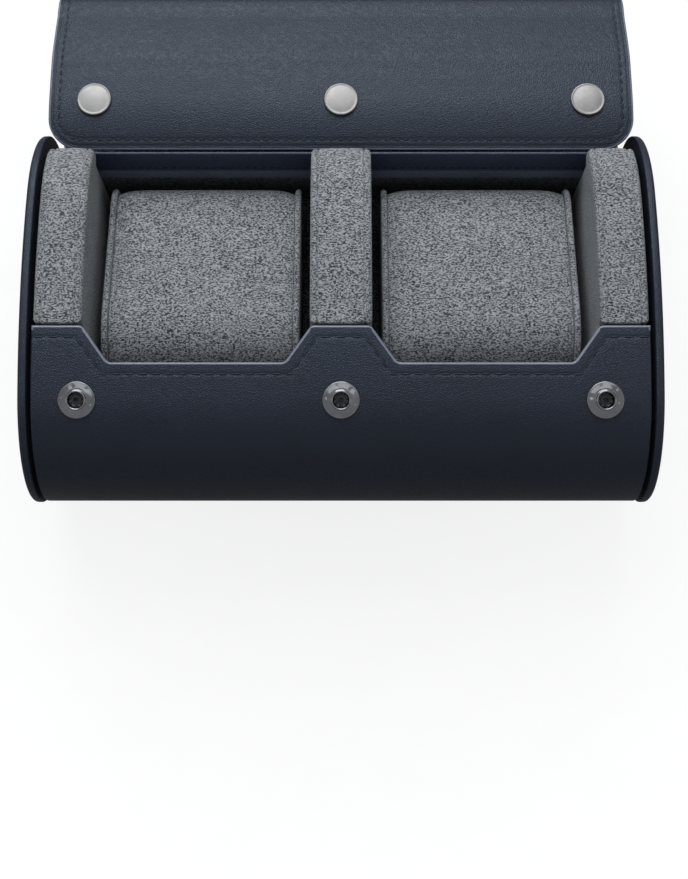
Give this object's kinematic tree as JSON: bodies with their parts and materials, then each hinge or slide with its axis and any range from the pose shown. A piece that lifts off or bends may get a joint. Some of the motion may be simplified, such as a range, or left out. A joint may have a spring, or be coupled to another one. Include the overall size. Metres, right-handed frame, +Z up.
{
  "type": "watch travel case",
  "caption": "Oval leather travel case for two watches: padded suede inside, lift-out pillows, divider and a curling flap that closes over the front with snaps.",
  "frame": {"origin": "on the floor, on the flat strip under the middle of the case", "axes": "+X along the case's length, -Y the front with the snap studs, +Z up"},
  "size_m": [0.19, 0.1634, 0.0714],
  "materials": {
    "leather_navy": "semi-gloss, fine grain",
    "suede_grey": "matt microsuede nap",
    "greyboard": "raw pressed board",
    "foam_pale": "matt open-cell foam",
    "nickel_satin": "satin nickel plate",
    "nickel_dark": "dark nickel plate"
  },
  "bodies": {
    "case": {"end_cover_left": "leather_navy", "end_cover_right": "leather_navy", "end_board_left": "greyboard", "end_board_right": "greyboard", "outer_wrap": "leather_navy", "shell_board": "greyboard", "body_lining": "suede_grey", "back_board": "greyboard", "back_facing": "leather_navy", "back_lining": "suede_grey", "side_pad_cover_left": "suede_grey", "side_pad_cover_right": "suede_grey", "side_pad_core_left": "foam_pale", "side_pad_core_right": "foam_pale", "divider_cover": "suede_grey", "divider_board": "greyboard", "snap_studs": "nickel_dark", "stud_posts": "nickel_dark"},
    "pillow_left": {"pillow_cover_left": "suede_grey", "pillow_core_left": "foam_pale", "pillow_sides_left": "suede_grey"},
    "pillow_right": {"pillow_cover_right": "suede_grey", "pillow_core_right": "foam_pale", "pillow_sides_right": "suede_grey"},
    "flap_back": {"flap_back_leather": "leather_navy", "flap_back_board": "greyboard", "flap_back_lining": "suede_grey"},
    "flap_shoulder": {"flap_shoulder_leather": "leather_navy", "flap_shoulder_board": "greyboard", "flap_shoulder_lining": "suede_grey"},
    "flap_top": {"flap_top_leather": "leather_navy", "flap_top_board": "greyboard", "flap_top_lining": "suede_grey"},
    "flap_front": {"flap_front_leather": "leather_navy", "flap_front_board": "greyboard", "flap_front_lining": "suede_grey", "snap_caps": "nickel_satin", "snap_sockets": "nickel_dark", "snap_springs": "nickel_satin"}
  },
  "joints": [
    {"name": "flap_back_hinge", "type": "hinge", "parent": "case", "child": "flap_back", "pos_m": [0, 0.05686, 0.02644], "axis": [1, 0, 0], "range_deg": [0, 138.6]},
    {"name": "flap_shoulder_hinge", "type": "hinge", "parent": "flap_back", "child": "flap_shoulder", "pos_m": [0, 0.08493, 0.00334], "axis": [1, 0, 0], "range_deg": [-40.4, 0]},
    {"name": "flap_top_hinge", "type": "hinge", "parent": "flap_shoulder", "child": "flap_top", "pos_m": [0, 0.10491, 0.04453], "axis": [1, 0, 0], "range_deg": [-73.7, 0]},
    {"name": "flap_front_hinge", "type": "hinge", "parent": "flap_top", "child": "flap_front", "pos_m": [0, 0.08104, 0.05447], "axis": [1, 0, 0], "range_deg": [-9.4, 0]},
    {"name": "pillow_left_lift", "type": "slide", "parent": "case", "child": "pillow_left", "axis": [0, 0.2756, 0.9613], "range_m": [0, 0.085]},
    {"name": "pillow_right_lift", "type": "slide", "parent": "case", "child": "pillow_right", "axis": [0, 0.2756, 0.9613], "range_m": [0, 0.085]}
  ],
  "couplings": [
    {"joint": "flap_shoulder_hinge", "follows": "flap_back_hinge", "ratio": -0.29149},
    {"joint": "flap_top_hinge", "follows": "flap_back_hinge", "ratio": -0.53175},
    {"joint": "flap_front_hinge", "follows": "flap_back_hinge", "ratio": -0.067821}
  ]
}
